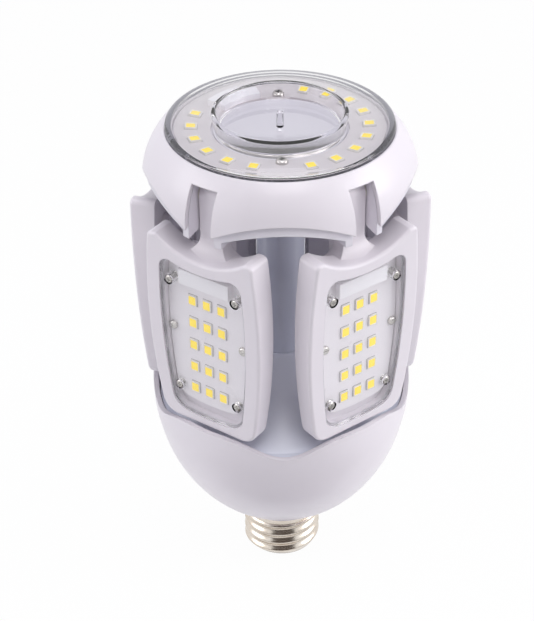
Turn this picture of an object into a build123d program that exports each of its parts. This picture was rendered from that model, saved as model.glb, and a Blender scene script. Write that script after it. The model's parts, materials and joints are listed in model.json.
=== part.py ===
from build123d import *
import os
from math import asin, cos, degrees, radians, sin, sqrt, tan

# Screw-base garage lamp: a bowl with the driver, a column, a crown with a ring of light,
# and five light wings hinged at the crown. Millimetres, +Z up, origin at the contact's tip.
# A wing is drawn pointing along +X and then turned to its place.

os.makedirs("parts", exist_ok=True)

# Pattern of the wings, and spare length that a wavy edge is cut from
wing_count = 5
first_wing_angle = 90.0
edge_spare = 2.0

# Screw base
contact_radius = 4.8
contact_height = 1.6
contact_edge = 0.5
stem_radius = 1.1
stem_length = 9.0
stem_clearance = 0.1
insulator_foot_radius = 6.4
insulator_rim_radius = 10.3
insulator_height = 3.4
insulator_plug = 3.0
shell_fit = 0.1
shell_root_radius = 12.2
shell_wall = 0.7
shell_end_radius = 11.0
shell_end_height = 1.6
shell_collar_radius = 12.7
thread_crest_radius = 13.1
thread_pitch = 3.629
thread_turns = 3.0
thread_bead_radius = 1.2
screw_length = 24.4
shell_insert = 4.5

# Bowl
lip_radius = 16.1
lip_height = 1.9
bowl_radius = 42.5
bowl_depth = 52.6
bowl_wall = 1.7
curve_spans = 6
rim_rise = 2.9
rim_wave = 5.5
rim_wave_half_width = 21.0
rim_gap = 0.6
ledge_width = 2.4
ledge_height = 1.6
board_drop = 10.0
driver_screw_count = 3
driver_ledge_depth = 8.0

# Deck
deck_thickness = 2.0
deck_drop = 0.6
deck_flat = 2.2
deck_rise = 17.4
deck_fit = 0.2
deck_seat_margin = 1.2

# Driver
driver_board_fit = 1.2
driver_screw_margin = 3.3
driver_board_thickness = 1.6
transformer_size = (24.0, 20.0, 17.0)
transformer_place = (3.0, 11.0)
capacitor_radius = 6.3
capacitor_length = 20.0
capacitor_spacing = 14.0
capacitor_row = -8.0
film_capacitor_size = (18.0, 7.5, 13.0)
film_capacitor_place = (0.0, -21.0)
choke_outer_radius = 6.6
choke_inner_radius = 3.0
choke_height = 8.0
choke_place = (-17.5, 8.0)
lead_radius = 0.6
lead_spacing = 1.8
lead_bend = 1.4

# Column
column_radius = 7.8
column_wall = 1.6
spigot_radius = 6.0
spigot_wall = 1.4
spigot_length = 5.0
spigot_fit = 0.1
column_flange = 4.0
column_screw_drop = 2.75
column_screw_length = 4.0
column_screw_count = 3
lead_hole_radius = 2.4

# Crown
crown_overhang = 0.1
crown_radius = bowl_radius + crown_overhang
crown_shoulder = 22.6
crown_core_radius = crown_radius - crown_shoulder
crown_dome_height = 23.6
crown_drop = 16.5
cover_wall = 1.4
cover_fit = 0.2
liner_wall = 1.8
cover_arch_drop = 10.8
cover_end_drop = 20.0
liner_arch_drop = 14.3
liner_end_drop = 23.2
cover_notch_rise = 0.8
plate_thickness = 2.3
hub_radius = 10.4
hub_depth = 10.0
hub_fit = 0.1
centre_disc_radius = 20.2
centre_disc_height = 0.65
cheek_thickness = 2.4
cheek_reach = 6.5
cheek_inner_drop = 17.5
cheek_outer_drop = 21.3
lead_groove_width = 4.0
lead_groove_depth = 1.5

# Ring of light
ring_board_inner_radius = 20.9
ring_board_setback = 3.0
ring_board_thickness = 1.2
ring_led_setback = 8.1
ring_led_size = 3.4
ring_led_height = 0.7
ring_led_step_angle = 18.0
ring_leds_right = 9
ring_leds_left = 6
ring_screw_circle_radius = 22.9
ring_screw_boss_radius = 2.6
ring_screw_boss_depth = 2.5
wire_cover_inner_radius = 21.4
wire_cover_outer_radius = 26.4
wire_cover_height = 1.8
wire_cover_arc_angle = 40.0
wire_cover_angle = 126.0
lead_exit_circle_radius = 24.0
ring_gasket_width = 2.2
ring_gasket_thickness = 0.5

# Ring lens, heights above the top of the ring's light packages
lens_setback = 7.6
lens_radius = crown_radius - lens_setback
lens_fit = 0.15
lens_seat_width = 2.2
lens_seat_height = 0.3
lens_edge_height = 1.9
lens_shoulder_width = 1.1
lens_shoulder_radius = lens_radius - lens_shoulder_width
lens_shoulder_height = 2.55
lens_rim_height = 5.5
lens_rim_width = 0.8
well_mouth_radius = 19.5
well_floor_radius = 18.2
well_corner = 0.5
lens_floor = 1.2
lens_foot_radius = 20.3
lens_roof = 1.7
lens_post_radius = 1.1
lens_post_height = 5.0
crown_lip_width = 0.55
ring_board_outer_radius = lens_radius - ring_board_setback
ring_led_circle_radius = lens_radius - ring_led_setback

# Wing: its face leans out towards the top
wing_setback = 2.2
wing_foot_radius = bowl_radius - wing_setback
wing_foot_depth = 5.8
face_tilt_angle = 2.2
wing_height = 67.6
wing_bottom_half = 17.2
wing_middle_half = 21.1
wing_top_half = 19.2
wing_middle_height = 41.0
wing_bottom_corner = 5.8
wing_top_corner = 1.8
wing_face_edge = 1.0
horn_width = 3.0
scoop_half = wing_top_half - horn_width
scoop_depth = 5.4
scoop_corner = 1.0
bezel_bottom_width = 4.3
bezel_middle_width = 5.3
bezel_top_width = 4.4
window_bottom_half = wing_bottom_half - bezel_bottom_width
window_middle_half = wing_middle_half - bezel_middle_width
window_top_half = wing_top_half - bezel_top_width
window_low = 3.0
window_bottom_bow = 1.2
window_high_margin = 3.9
window_top_sag = 2.8
window_middle = 38.0
window_bottom_corner = 6.0
window_top_corner = 3.6
lens_recess = 0.25
wing_lens_thickness = 1.3
wing_lens_fit = 0.15
wing_gasket_thickness = 0.5
wing_ledge = 0.9
wing_gasket_fit = 0.1
wing_floor = 2.15
wing_board_thickness = 1.6
wing_board_fit = 0.2
wing_board_rise = 3.6
wing_led_size = 3.0
wing_led_height = 0.65
wing_led_columns = 3
wing_led_rows = 5
wing_led_pitch_across = 5.41
wing_terminal_size = (18.6, 5.4)
wing_terminal_height = 2.0
wing_terminal_drop = 8.1
wing_terminal_place = wing_height - scoop_depth - wing_terminal_drop
wing_led_lowest = 13.14
wing_led_terminal_gap = 8.44
wing_led_highest = wing_terminal_place - wing_led_terminal_gap
wing_led_pitch_up = (wing_led_highest - wing_led_lowest) / (wing_led_rows - 1)
wing_led_height_above_bottom = (wing_led_highest + wing_led_lowest) / 2
back_pad_depth = 2.5
back_pad_inset = 2.5
fin_slots = 6
fin_slot_pitch = 3.6
fin_slot_width = 2.4
fin_slot_low = 8.0
fin_slot_drop = 16.2
fin_slot_high = wing_height - scoop_depth - fin_slot_drop
fin_slot_depth = 2.0

# Wing screws
corner_screw_inset_low = 1.8
corner_screw_inset_high = 2.5
corner_screw_across_low = window_bottom_half - corner_screw_inset_low
corner_screw_across_high = window_top_half - corner_screw_inset_high
corner_screw_low = 12.5
corner_screw_drop = 10.0
corner_screw_high = wing_height - scoop_depth - corner_screw_drop
middle_screw_inset = 2.6
middle_screw_across = window_middle_half - middle_screw_inset
middle_screw_height = 34.0
screw_shank_radius = 0.9
screw_head_radius = 1.5
screw_head_height = 1.0
screw_recess = 0.15
screw_fit = 0.05
screw_socket_radius = 0.6
screw_socket_depth = 0.5
lens_boss_radius = 1.7
screw_bite = 3.0
long_screw_head_radius = 1.9
long_screw_head_height = 1.3
long_screw_shank_radius = 1.1
long_screw_length = 4.5

# Hinge
hinge_setback = 10.0
hinge_radius = bowl_radius - hinge_setback
hinge_rise = 13.4
arm_width = 8.0
arm_thickness = 7.0
arm_side_gap = 0.6
arm_flare = 5.5
root_reach = 4.0
spine_height = 38.0
swing_clearance = 0.8
pin_radius = 1.5
pin_running_fit = 0.05
pin_hold_fit = 0.02
washer_radius = 3.3
washer_thickness = 0.4

# Heights that follow from the sizes above
shell_end_z = contact_height + insulator_height
crease_z = screw_length + lip_height
equator_z = crease_z + bowl_depth * sqrt(1 - (lip_radius / bowl_radius) ** 2)
rim_land_z = equator_z + rim_rise
rim_dip_z = rim_land_z - rim_wave
rim_blank_z = rim_land_z + edge_spare
deck_edge_z = rim_dip_z - deck_drop
deck_seat_z = deck_edge_z - deck_thickness
deck_peak_z = deck_edge_z + deck_rise
driver_board_z = deck_seat_z - board_drop
wing_bottom_z = rim_land_z + rim_gap
wing_top_z = wing_bottom_z + wing_height
hinge_z = wing_top_z + hinge_rise
plate_low_z = hinge_z + arm_thickness / 2 + swing_clearance
plate_top_z = plate_low_z + plate_thickness
ring_board_top_z = plate_top_z + ring_board_thickness
light_plane_z = ring_board_top_z + ring_led_height
crown_centre_z = light_plane_z - crown_drop
column_top_z = plate_low_z
cheek_gap_half = arm_width / 2 + arm_side_gap
cheek_inner_radius = hinge_radius - cheek_reach
column_screw_angle = wire_cover_angle + 180 / column_screw_count
wing_angles = [first_wing_angle + i * 360 / wing_count for i in range(wing_count)]
gap_angles = [angle + 180 / wing_count for angle in wing_angles]


def bowl_inner_radius(z):
    return (bowl_radius - bowl_wall) * sqrt(1 - ((equator_z - z) / (bowl_depth - bowl_wall)) ** 2)


def facing_out(x, z=0.0):
    """Plane square to +X, drawn in with across and up as its two directions."""
    return Plane(origin=(x, 0, z), x_dir=(0, 1, 0), z_dir=(1, 0, 0))


def screw(shank_radius, head_radius, head_height, length):
    """Pan head screw along Z, its head on the plane Z = 0 and its shank below."""
    with BuildPart() as body:
        Cylinder(head_radius, head_height, align=(Align.CENTER, Align.CENTER, Align.MIN))
        fillet(body.edges().group_by(Axis.Z)[-1], head_height * 0.45)
        Cylinder(shank_radius, length, align=(Align.CENTER, Align.CENTER, Align.MAX))
        with Locations((0, 0, head_height)):
            Cylinder(
                screw_socket_radius,
                screw_socket_depth,
                align=(Align.CENTER, Align.CENTER, Align.MAX),
                mode=Mode.SUBTRACT,
            )
    return body.part


def dome_solid(inset, low_z, high_z):
    """Solid crown shape, drawn in by the inset from the outside of the cover."""
    across = crown_radius - crown_core_radius - inset
    tall = crown_dome_height - inset
    with BuildPart() as dome:
        with BuildSketch(Plane.XZ):
            with BuildLine():
                top_angle = degrees(asin((high_z - crown_centre_z) / tall))
                arc = EllipticalCenterArc((crown_core_radius, crown_centre_z), across, tall, arc_size=top_angle)
                Polyline(arc @ 1, (0, high_z), (0, low_z), (crown_radius - inset, low_z), arc @ 0)
            make_face()
        revolve(axis=Axis.Z)
    return dome.part


def wave_cutter(dip_z, land_z, half_width, outer_z):
    """Solid that takes away what lies above a smooth dip in one gap between two wings."""
    reach = crown_radius * sin(radians(180 / wing_count))
    with BuildPart() as cutter:
        with BuildSketch(facing_out(crown_core_radius)):
            with BuildLine():
                Spline(
                    (-half_width, land_z),
                    (0, dip_z),
                    (half_width, land_z),
                    tangents=[(1, 0), (1, 0), (1, 0)],
                )
                Polyline(
                    (half_width, land_z),
                    (reach, land_z),
                    (reach, outer_z),
                    (-reach, outer_z),
                    (-reach, land_z),
                    (-half_width, land_z),
                )
            make_face()
        extrude(amount=crown_radius)
    return cutter.part


def arch_cutter(arch_z, end_z, outer_z):
    """Solid that takes away what lies below a plain arch in one gap between two wings."""
    reach = crown_radius * sin(radians(180 / wing_count))
    with BuildPart() as cutter:
        with BuildSketch(facing_out(crown_core_radius)):
            with BuildLine():
                arch = ThreePointArc((-reach, end_z), (0, arch_z), (reach, end_z))
                Polyline(arch @ 1, (reach, outer_z), (-reach, outer_z), arch @ 0)
            make_face()
        extrude(amount=crown_radius)
    return cutter.part


def notch_cutter(top_z):
    """Solid that opens the crown for one wing's arm, up to the given height."""
    with BuildPart() as cutter:
        with BuildSketch(facing_out(cheek_inner_radius)):
            with Locations((0, top_z)):
                Rectangle(2 * cheek_gap_half, wing_height, align=(Align.CENTER, Align.MAX))
        extrude(amount=crown_radius)
    return cutter.part


# Centre contact: button with a rivet stem
with BuildPart() as centre_contact:
    Cylinder(contact_radius, contact_height, align=(Align.CENTER, Align.CENTER, Align.MIN))
    fillet(centre_contact.edges().group_by(Axis.Z)[0], contact_edge)
    with Locations((0, 0, contact_height)):
        Cylinder(stem_radius, stem_length, align=(Align.CENTER, Align.CENTER, Align.MIN))
centre_contact.part.label = "centre_contact"
export_step(centre_contact.part, "parts/centre_contact.step")

# Insulator: cone between contact and shell, with a plug inside the shell
insulator_plug_radius = shell_end_radius - shell_wall - shell_fit
with BuildPart() as base_insulator:
    with BuildSketch(Plane.XZ):
        with BuildLine():
            Polyline(
                (stem_radius + stem_clearance, contact_height),
                (insulator_foot_radius, contact_height),
                (insulator_rim_radius, shell_end_z),
                (insulator_plug_radius, shell_end_z),
                (insulator_plug_radius, shell_end_z + insulator_plug),
                (stem_radius + stem_clearance, shell_end_z + insulator_plug),
                close=True,
            )
        make_face()
    revolve(axis=Axis.Z)
base_insulator.part.label = "base_insulator"
export_step(base_insulator.part, "parts/base_insulator.step")

# Threaded shell: turned-in end, rolled thread, smooth collar inside the bowl's neck
thread_low_z = shell_end_z + shell_end_height + thread_bead_radius / 2
thread_height = thread_pitch * thread_turns
collar_low_z = thread_low_z + thread_height + thread_bead_radius
shell_top_z = screw_length + shell_insert
with BuildPart() as screw_shell:
    with BuildSketch(Plane.XZ):
        with BuildLine():
            Polyline(
                (0, shell_end_z),
                (shell_end_radius, shell_end_z),
                (shell_root_radius, shell_end_z + shell_end_height),
                (shell_root_radius, collar_low_z - shell_wall),
                (shell_collar_radius, collar_low_z),
                (shell_collar_radius, shell_top_z),
                (0, shell_top_z),
                close=True,
            )
        make_face()
    revolve(axis=Axis.Z)
    with BuildLine() as thread_path:
        Helix(
            thread_pitch,
            thread_height,
            thread_crest_radius - thread_bead_radius,
            center=(0, 0, thread_low_z),
        )
    with BuildSketch(Plane(origin=thread_path.line @ 0, z_dir=thread_path.line % 0)) as bead:
        Circle(thread_bead_radius)
    sweep(bead.sketch, path=thread_path.line, is_frenet=True)
    with BuildSketch(Plane.XZ):
        with BuildLine():
            Polyline(
                (0, shell_end_z),
                (shell_end_radius - shell_wall, shell_end_z),
                (shell_end_radius - shell_wall, shell_end_z + insulator_plug + shell_fit),
                (shell_root_radius - shell_wall, shell_end_z + insulator_plug + shell_end_height),
                (shell_root_radius - shell_wall, shell_top_z),
                (0, shell_top_z),
                close=True,
            )
        make_face()
    revolve(axis=Axis.Z, mode=Mode.SUBTRACT)
screw_shell.part.label = "screw_shell"
export_step(screw_shell.part, "parts/screw_shell.step")

# Bowl: elliptical housing with a neck lip, a wavy rim and two ledges, for the deck and the board
neck_radius = shell_collar_radius + shell_fit
inner_across = bowl_radius - bowl_wall
inner_tall = bowl_depth - bowl_wall
neck_top_z = equator_z - inner_tall * sqrt(1 - (neck_radius / inner_across) ** 2)
deck_ledge_radius = bowl_inner_radius(deck_seat_z) - ledge_width
driver_seat_z = driver_board_z - driver_board_thickness
driver_board_radius = bowl_inner_radius(driver_seat_z) - driver_board_fit
driver_screw_circle_radius = driver_board_radius - driver_screw_margin
driver_ledge_radius = driver_screw_circle_radius - ledge_width
ledge_root_z = driver_seat_z - driver_ledge_depth


def bowl_curve(across, tall, low_z, high_z):
    """Smooth curve along an ellipse about the bowl's equator, between two heights."""
    low_turn = asin((low_z - equator_z) / tall)
    high_turn = asin((high_z - equator_z) / tall)
    turns = [low_turn + (high_turn - low_turn) * i / curve_spans for i in range(curve_spans + 1)]
    points = [(across * cos(turn), equator_z + tall * sin(turn)) for turn in turns]
    ends = [(-across * sin(turn), tall * cos(turn)) for turn in (low_turn, high_turn)]
    return Spline(*points, tangents=ends)


with BuildPart() as base_bowl:
    with BuildSketch(Plane.XZ):
        with BuildLine():
            outer = bowl_curve(bowl_radius, bowl_depth, crease_z, equator_z)
            low_arc = bowl_curve(inner_across, inner_tall, neck_top_z, ledge_root_z)
            middle_arc = bowl_curve(inner_across, inner_tall, driver_seat_z, deck_seat_z - ledge_height)
            top_arc = bowl_curve(inner_across, inner_tall, deck_seat_z, equator_z)
            Polyline(
                low_arc @ 1,
                (driver_ledge_radius, driver_seat_z - ledge_height),
                (driver_ledge_radius, driver_seat_z),
                middle_arc @ 0,
            )
            Polyline(
                middle_arc @ 1,
                (deck_ledge_radius, deck_seat_z - ledge_height),
                (deck_ledge_radius, deck_seat_z),
                top_arc @ 0,
            )
            Polyline(top_arc @ 1, (inner_across, rim_blank_z), (bowl_radius, rim_blank_z), outer @ 1)
            Polyline(
                outer @ 0,
                (lip_radius, screw_length),
                (neck_radius, screw_length),
                low_arc @ 0,
            )
        make_face()
    revolve(axis=Axis.Z)
    with BuildSketch(Plane.XY.offset(driver_seat_z)):
        with PolarLocations(driver_screw_circle_radius, driver_screw_count):
            Circle(long_screw_shank_radius + screw_fit)
    extrude(amount=-driver_ledge_depth, mode=Mode.SUBTRACT)
    rim_cutter = wave_cutter(rim_dip_z, rim_land_z, rim_wave_half_width, wing_top_z)
    for angle in gap_angles:
        add(rim_cutter, rotation=(0, 0, angle), mode=Mode.SUBTRACT)
base_bowl.part.label = "base_bowl"
export_step(base_bowl.part, "parts/base_bowl.step")

# Deck: cone that closes the bowl and carries the column
deck_radius = bowl_inner_radius(deck_seat_z) - deck_fit
deck_cone_radius = deck_radius - deck_flat
deck_top_radius = column_radius + deck_seat_margin
spigot_hole_radius = spigot_radius + spigot_fit
with BuildPart() as bowl_deck:
    with BuildSketch(Plane.XZ):
        with BuildLine():
            Polyline(
                (deck_radius, deck_seat_z),
                (deck_radius, deck_edge_z),
                (deck_cone_radius, deck_edge_z),
                (deck_top_radius, deck_peak_z),
                (spigot_hole_radius, deck_peak_z),
                (spigot_hole_radius, deck_peak_z - deck_thickness),
                (deck_top_radius - deck_thickness / 2, deck_peak_z - deck_thickness),
                (deck_cone_radius - deck_thickness, deck_seat_z),
                close=True,
            )
        make_face()
    revolve(axis=Axis.Z)
bowl_deck.part.label = "bowl_deck"
export_step(bowl_deck.part, "parts/bowl_deck.step")

# Driver board and its screws
with BuildPart() as driver_board:
    with BuildSketch(Plane.XY.offset(driver_seat_z)):
        Circle(driver_board_radius)
        with PolarLocations(driver_screw_circle_radius, driver_screw_count):
            Circle(long_screw_shank_radius + screw_fit, mode=Mode.SUBTRACT)
    extrude(amount=driver_board_thickness)
driver_board.part.label = "driver_board"
export_step(driver_board.part, "parts/driver_board.step")

long_screw = screw(
    long_screw_shank_radius, long_screw_head_radius, long_screw_head_height, long_screw_length
)
with BuildPart() as board_screws:
    with Locations((0, 0, driver_board_z)):
        with PolarLocations(driver_screw_circle_radius, driver_screw_count):
            add(long_screw)
board_screws.part.label = "board_screws"
export_step(board_screws.part, "parts/board_screws.step")

# Driver components, hanging under the board
with BuildPart() as driver_transformer:
    with Locations((transformer_place[0], transformer_place[1], driver_seat_z)):
        Box(*transformer_size, align=(Align.CENTER, Align.CENTER, Align.MAX))
driver_transformer.part.label = "driver_transformer"
export_step(driver_transformer.part, "parts/driver_transformer.step")

with BuildPart() as driver_capacitors:
    with BuildSketch(Plane.XY.offset(driver_seat_z)):
        with Locations((0, capacitor_row)):
            with GridLocations(capacitor_spacing, 0, 2, 1):
                Circle(capacitor_radius)
    extrude(amount=-capacitor_length)
    fillet(driver_capacitors.edges().group_by(Axis.Z)[0], contact_edge)
driver_capacitors.part.label = "driver_capacitors"
export_step(driver_capacitors.part, "parts/driver_capacitors.step")

with BuildPart() as driver_film_capacitor:
    with Locations((film_capacitor_place[0], film_capacitor_place[1], driver_seat_z)):
        Box(*film_capacitor_size, align=(Align.CENTER, Align.CENTER, Align.MAX))
driver_film_capacitor.part.label = "driver_film_capacitor"
export_step(driver_film_capacitor.part, "parts/driver_film_capacitor.step")

with BuildPart() as driver_choke:
    with BuildSketch(Plane.XY.offset(driver_seat_z)):
        with Locations(choke_place):
            Circle(choke_outer_radius)
            Circle(choke_inner_radius, mode=Mode.SUBTRACT)
    extrude(amount=-choke_height)
driver_choke.part.label = "driver_choke"
export_step(driver_choke.part, "parts/driver_choke.step")

# Leads from the screw base to the board
base_lead_places = (
    (stem_radius + lead_radius, -stem_radius, shell_end_z + insulator_plug),
    (shell_root_radius - shell_wall - lead_radius - shell_fit, 0, shell_end_z + insulator_plug + shell_end_height),
)
with BuildPart() as base_leads:
    for across, along, low_z in base_lead_places:
        with BuildSketch(Plane.XY.offset(low_z)):
            with Locations((across, along)):
                Circle(lead_radius)
        extrude(amount=driver_seat_z - low_z)
base_leads.part.label = "base_leads"
export_step(base_leads.part, "parts/base_leads.step")

# Column: tube with a spigot in the deck and a flange that is screwed into the crown's hub
with BuildPart() as groove_blank:
    with BuildSketch(Plane.XY.offset(column_top_z)):
        with Locations(Location((0, 0, 0), (0, 0, wire_cover_angle))):
            Rectangle(lead_exit_circle_radius, lead_groove_width, align=(Align.MIN, Align.CENTER))
    extrude(amount=-lead_groove_depth)
lead_groove = groove_blank.part
column_screw_places = [
    Plane(
        origin=(
            hub_radius * cos(radians(column_screw_angle + i * 360 / column_screw_count)),
            hub_radius * sin(radians(column_screw_angle + i * 360 / column_screw_count)),
            column_top_z - column_screw_drop,
        ),
        x_dir=(0, 0, 1),
        z_dir=(
            cos(radians(column_screw_angle + i * 360 / column_screw_count)),
            sin(radians(column_screw_angle + i * 360 / column_screw_count)),
            0,
        ),
    )
    for i in range(column_screw_count)
]
column_bore_radius = column_radius - column_wall
with BuildPart() as column_tube:
    with BuildSketch(Plane.XZ):
        with BuildLine():
            Polyline(
                (spigot_radius, deck_peak_z - spigot_length),
                (spigot_radius, deck_peak_z),
                (column_radius, deck_peak_z),
                (column_radius, column_top_z),
                (lead_hole_radius, column_top_z),
                (lead_hole_radius, column_top_z - column_flange),
                (column_bore_radius, column_top_z - column_flange),
                (column_bore_radius, deck_peak_z + column_wall),
                (spigot_radius - spigot_wall, deck_peak_z + column_wall),
                (spigot_radius - spigot_wall, deck_peak_z - spigot_length),
                close=True,
            )
        make_face()
    revolve(axis=Axis.Z)
    add(lead_groove, mode=Mode.SUBTRACT)
    for place in column_screw_places:
        with BuildSketch(place):
            Circle(screw_shank_radius + screw_fit)
        extrude(amount=-column_screw_length, mode=Mode.SUBTRACT)
column_tube.part.label = "column_tube"
export_step(column_tube.part, "parts/column_tube.step")

# Crown frame: plate and liner skirt with hub, hinge cheeks and lead groove
liner_inset = cover_wall + cover_fit
liner_low_z = light_plane_z - liner_end_drop
hub_low_z = plate_low_z - hub_depth
frame_envelope = dome_solid(liner_inset, liner_low_z - edge_spare, plate_top_z)
frame_space = dome_solid(liner_inset + liner_wall, liner_low_z - edge_spare, plate_low_z)
with BuildPart() as cheek_pair:
    for side in (-1, 1):
        with BuildSketch(Plane.XZ.offset(side * cheek_gap_half)):
            with BuildLine():
                Polyline(
                    (cheek_inner_radius, plate_top_z),
                    (crown_radius, plate_top_z),
                    (crown_radius, light_plane_z - cheek_outer_drop),
                    (cheek_inner_radius, light_plane_z - cheek_inner_drop),
                    close=True,
                )
            make_face()
        extrude(amount=side * cheek_thickness)
with BuildPart() as hinge_cheeks:
    for angle in wing_angles:
        add(cheek_pair.part, rotation=(0, 0, angle))
    add(frame_envelope, mode=Mode.INTERSECT)
frame_notch = notch_cutter(plate_low_z)
cover_notch = notch_cutter(plate_low_z + cover_notch_rise)
with BuildPart() as pin_cutter:
    with BuildSketch(Plane.XZ):
        with Locations((hinge_radius, hinge_z)):
            Circle(pin_radius + pin_hold_fit)
    extrude(amount=cheek_gap_half + cheek_thickness, both=True)
with BuildPart() as crown_frame:
    add(frame_envelope)
    add(frame_space, mode=Mode.SUBTRACT)
    liner_cutter = arch_cutter(light_plane_z - liner_arch_drop, liner_low_z, rim_land_z)
    for angle in gap_angles:
        add(liner_cutter, rotation=(0, 0, angle), mode=Mode.SUBTRACT)
    for angle in wing_angles:
        add(frame_notch, rotation=(0, 0, angle), mode=Mode.SUBTRACT)
    add(hinge_cheeks.part)
    for angle in wing_angles:
        add(pin_cutter.part, rotation=(0, 0, angle), mode=Mode.SUBTRACT)
    with BuildSketch(Plane.XY.offset(plate_low_z)):
        Circle(hub_radius)
    extrude(amount=-hub_depth)
    with BuildSketch(Plane.XY.offset(plate_low_z)):
        Circle(column_radius + hub_fit)
    extrude(amount=-hub_depth, mode=Mode.SUBTRACT)
    with BuildSketch(Plane.XY.offset(plate_low_z)):
        with PolarLocations(ring_screw_circle_radius, 2, first_wing_angle):
            Circle(ring_screw_boss_radius)
    extrude(amount=-ring_screw_boss_depth)
    with BuildSketch(Plane.XY.offset(plate_top_z)):
        Circle(centre_disc_radius)
    extrude(amount=centre_disc_height)
    with BuildSketch(Plane.XY.offset(plate_top_z + centre_disc_height)):
        with PolarLocations(ring_screw_circle_radius, 2, first_wing_angle):
            Circle(long_screw_shank_radius + screw_fit)
    extrude(amount=-plate_thickness - centre_disc_height - ring_screw_boss_depth, mode=Mode.SUBTRACT)
    with BuildSketch(Plane.XY.offset(plate_top_z)):
        with PolarLocations(lead_exit_circle_radius, 1, wire_cover_angle):
            Circle(lead_spacing)
    extrude(amount=-plate_thickness, mode=Mode.SUBTRACT)
    add(lead_groove, mode=Mode.SUBTRACT)
    for place in column_screw_places:
        with BuildSketch(place):
            Circle(screw_shank_radius + screw_fit)
        extrude(amount=-column_screw_length, mode=Mode.SUBTRACT)
crown_frame.part.label = "crown_frame"
export_step(crown_frame.part, "parts/crown_frame.step")

# Column screws: through the hub into the column's flange
column_screw = screw(screw_shank_radius, screw_head_radius, screw_head_height, column_screw_length)
with BuildPart() as column_screws:
    with Locations(*column_screw_places):
        add(column_screw)
column_screws.part.label = "column_screws"
export_step(column_screws.part, "parts/column_screws.step")

# Leads from the driver through the column and the groove to the ring board
groove_lead_z = column_top_z - lead_groove_depth + lead_radius + stem_clearance
lead_tip_z = ring_board_top_z + lead_radius
with BuildPart() as column_leads:
    for side in (-1, 1):
        offset_across = side * lead_spacing / 2
        turn = Plane(
            origin=(
                -offset_across * sin(radians(wire_cover_angle)),
                offset_across * cos(radians(wire_cover_angle)),
                0,
            ),
            x_dir=(cos(radians(wire_cover_angle)), sin(radians(wire_cover_angle)), 0),
            z_dir=(sin(radians(wire_cover_angle)), -cos(radians(wire_cover_angle)), 0),
        )
        with BuildLine(turn) as lead_path:
            FilletPolyline(
                (0, driver_board_z),
                (0, groove_lead_z),
                (lead_exit_circle_radius, groove_lead_z),
                (lead_exit_circle_radius, lead_tip_z),
                radius=lead_bend,
            )
        with BuildSketch(Plane(origin=lead_path.line @ 0, z_dir=lead_path.line % 0)) as lead_section:
            Circle(lead_radius)
        sweep(lead_section.sketch, path=lead_path.line)
column_leads.part.label = "column_leads"
export_step(column_leads.part, "parts/column_leads.step")

# Crown cover: thin outer shell with a seat for the lens, notches and arched edge
cover_low_z = light_plane_z - cover_end_drop
seat_z = light_plane_z + lens_seat_height - ring_gasket_thickness
lip_inner_radius = lens_radius + lens_fit
lip_outer_radius = lip_inner_radius + crown_lip_width
flange_bore_radius = lens_radius - lens_seat_width - lens_fit
dome_across = crown_radius - crown_core_radius
lip_ratio = (lip_outer_radius - crown_core_radius) / dome_across
lip_top_z = crown_centre_z + crown_dome_height * sqrt(1 - lip_ratio**2)
cover_space = dome_solid(cover_wall, cover_low_z - edge_spare, plate_top_z)
cover_cutter = arch_cutter(light_plane_z - cover_arch_drop, cover_low_z, rim_land_z)
with BuildPart() as crown_cover:
    add(dome_solid(0, cover_low_z - edge_spare, lip_top_z))
    add(cover_space, mode=Mode.SUBTRACT)
    with BuildSketch(Plane.XY.offset(lip_top_z)):
        Circle(lip_inner_radius)
    extrude(amount=seat_z - lip_top_z, mode=Mode.SUBTRACT)
    with BuildSketch(Plane.XY.offset(lip_top_z)):
        Circle(flange_bore_radius)
    extrude(amount=plate_top_z - lip_top_z, mode=Mode.SUBTRACT)
    for angle in gap_angles:
        add(cover_cutter, rotation=(0, 0, angle), mode=Mode.SUBTRACT)
    for angle in wing_angles:
        add(cover_notch, rotation=(0, 0, angle), mode=Mode.SUBTRACT)
crown_cover.part.label = "crown_cover"
export_step(crown_cover.part, "parts/crown_cover.step")

# Hinge pins, held in the cheeks, and friction washers beside the arms
with BuildPart() as pin_blank:
    with BuildSketch(Plane.XZ):
        with Locations((hinge_radius, hinge_z)):
            Circle(pin_radius)
    extrude(amount=cheek_gap_half + cheek_thickness, both=True)
with BuildPart() as hinge_pins:
    for angle in wing_angles:
        add(pin_blank.part, rotation=(0, 0, angle))
hinge_pins.part.label = "hinge_pins"
export_step(hinge_pins.part, "parts/hinge_pins.step")

washer_start = arm_width / 2 + (arm_side_gap - washer_thickness) / 2
with BuildPart() as washer_blank:
    for side in (-1, 1):
        with BuildSketch(Plane.XZ.offset(side * washer_start)):
            with Locations((hinge_radius, hinge_z)):
                Circle(washer_radius)
                Circle(pin_radius + pin_running_fit, mode=Mode.SUBTRACT)
        extrude(amount=side * washer_thickness)
with BuildPart() as hinge_washers:
    for angle in wing_angles:
        add(washer_blank.part, rotation=(0, 0, angle))
hinge_washers.part.label = "hinge_washers"
export_step(hinge_washers.part, "parts/hinge_washers.step")

# Ring board with its light packages, screws and wire cover
with BuildPart() as ring_board:
    with BuildSketch(Plane.XY.offset(plate_top_z)):
        Circle(ring_board_outer_radius)
        Circle(ring_board_inner_radius, mode=Mode.SUBTRACT)
        with PolarLocations(ring_screw_circle_radius, 2, first_wing_angle):
            Circle(long_screw_shank_radius + screw_fit, mode=Mode.SUBTRACT)
        with PolarLocations(lead_exit_circle_radius, 1, wire_cover_angle):
            Circle(lead_spacing, mode=Mode.SUBTRACT)
    extrude(amount=ring_board_thickness)
ring_board.part.label = "ring_board"
export_step(ring_board.part, "parts/ring_board.step")

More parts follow.
